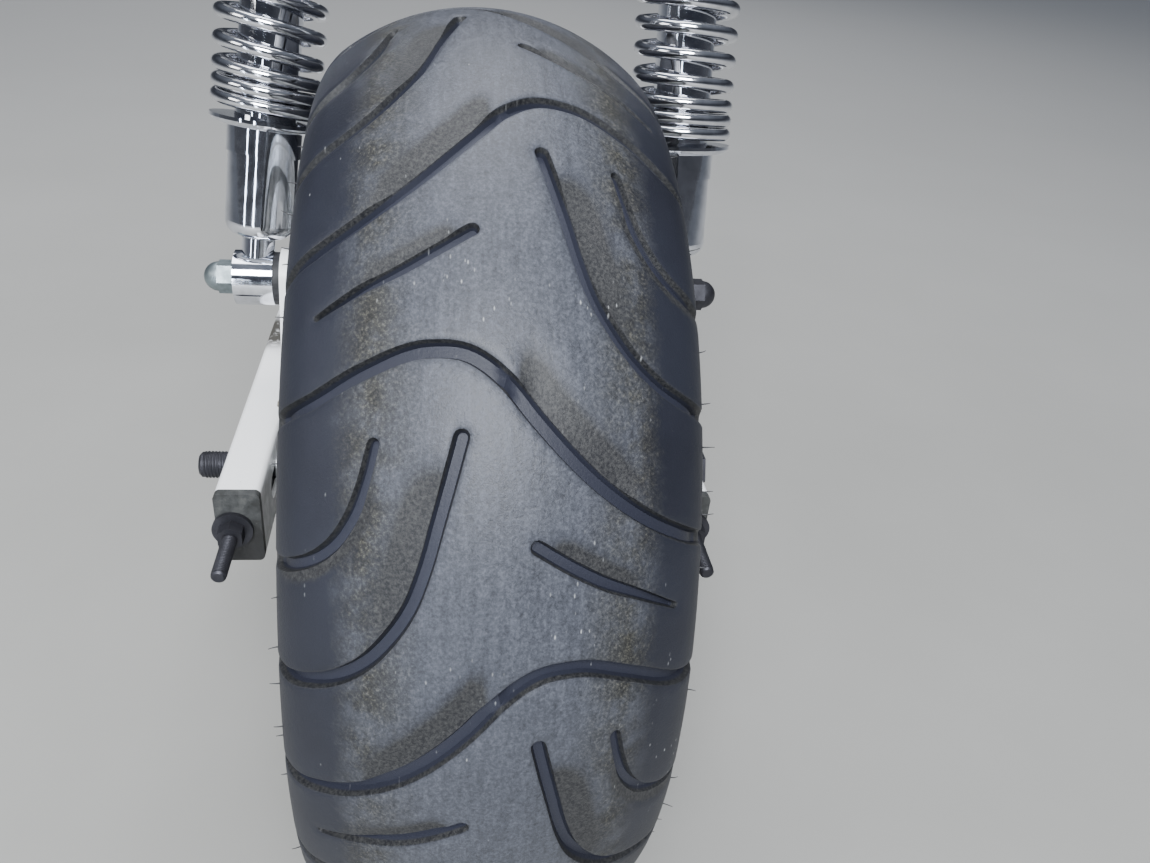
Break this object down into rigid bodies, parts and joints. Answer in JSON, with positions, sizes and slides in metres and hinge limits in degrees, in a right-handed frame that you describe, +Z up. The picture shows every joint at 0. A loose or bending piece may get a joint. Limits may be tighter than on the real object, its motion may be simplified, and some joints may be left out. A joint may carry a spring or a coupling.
{
  "type": "minibike rear wheel and swingarm unit",
  "caption": "Fat minibike rear wheel on a white box-section swingarm, with a drum brake, a chain sprocket and chromed coil spring shock absorbers on both sides.",
  "frame": {"origin": "centre of the swingarm's pivot bore, in the middle plane of the swingarm", "axes": "+X forwards, +Y to the left along the pivot bolt, +Z up with the arms level; the wheel's axle is 345 mm behind the pivot"},
  "size_m": [0.5709, 0.251, 0.6156],
  "materials": {
    "tyre": "worn rubber with dust",
    "hub_alloy": "cast, satin",
    "rim_alloy": "turned, satin",
    "sprocket_steel": "machined, lightly oiled",
    "bearing_steel": "ground",
    "zinc_steel": "zinc plated",
    "zinc_dome": "zinc plated, light",
    "dark_steel": "black oxide, worn",
    "white_paint": "gloss paint",
    "dark_worn_paint": "worn and stained",
    "black_rubber": "matt",
    "chrome": "bright",
    "spring_chrome": "bright, slightly dusty"
  },
  "bodies": {
    "swingarm": {"adjuster_nut_left": "dark_steel", "adjuster_nut_right": "dark_steel", "arm_end_left": "dark_worn_paint", "arm_end_right": "dark_worn_paint", "arm_left": "white_paint", "arm_right": "white_paint", "axle": "dark_steel", "axle_collar_left": "zinc_steel", "axle_collar_right": "zinc_steel", "brake_lever": "zinc_steel", "brake_panel": "hub_alloy", "chain_adjuster_left": "dark_steel", "chain_adjuster_right": "dark_steel", "cross_brace": "white_paint", "damper_left": "chrome", "damper_right": "chrome", "dome_nut_left": "zinc_dome", "dome_nut_right": "dark_steel", "lower_eye_rubber_left": "black_rubber", "lower_eye_rubber_right": "black_rubber", "pivot_bush_left": "black_rubber", "pivot_bush_right": "black_rubber", "pivot_sleeve": "bearing_steel", "pivot_tube": "white_paint", "shock_bracket_left": "white_paint", "shock_bracket_right": "white_paint", "shock_cover_left": "chrome", "shock_cover_right": "chrome", "spring_left": "spring_chrome", "spring_right": "spring_chrome", "spring_seat_left": "chrome", "spring_seat_right": "chrome", "stud_washer_left": "black_rubber", "stud_washer_right": "black_rubber", "torque_stay": "white_paint", "torque_stay_bolt_front": "zinc_steel", "torque_stay_bolt_rear": "zinc_steel", "torque_stay_lug": "white_paint", "upper_eye_rubber_left": "black_rubber", "upper_eye_rubber_right": "black_rubber", "upper_eye_sleeve_left": "zinc_steel", "upper_eye_sleeve_right": "zinc_steel"},
    "wheel": {"tyre": "tyre", "hub": "hub_alloy", "sprocket": "sprocket_steel", "valve_stem": "black_rubber", "rim_left": "rim_alloy", "rim_right": "rim_alloy", "bearing_left": "bearing_steel", "bearing_right": "bearing_steel", "rim_bolt_1": "zinc_steel", "rim_bolt_2": "zinc_steel", "rim_bolt_3": "zinc_steel", "rim_bolt_4": "zinc_steel", "rim_bolt_5": "zinc_steel", "sprocket_bolt_1": "zinc_steel", "sprocket_bolt_2": "zinc_steel", "sprocket_bolt_3": "zinc_steel", "sprocket_bolt_4": "zinc_steel"}
  },
  "joints": [
    {"name": "wheel_spin", "type": "hinge", "parent": "swingarm", "child": "wheel", "pos_m": [-0.345, -0.0025, 0], "axis": [0, 1, 0], "continuous": true}
  ]
}
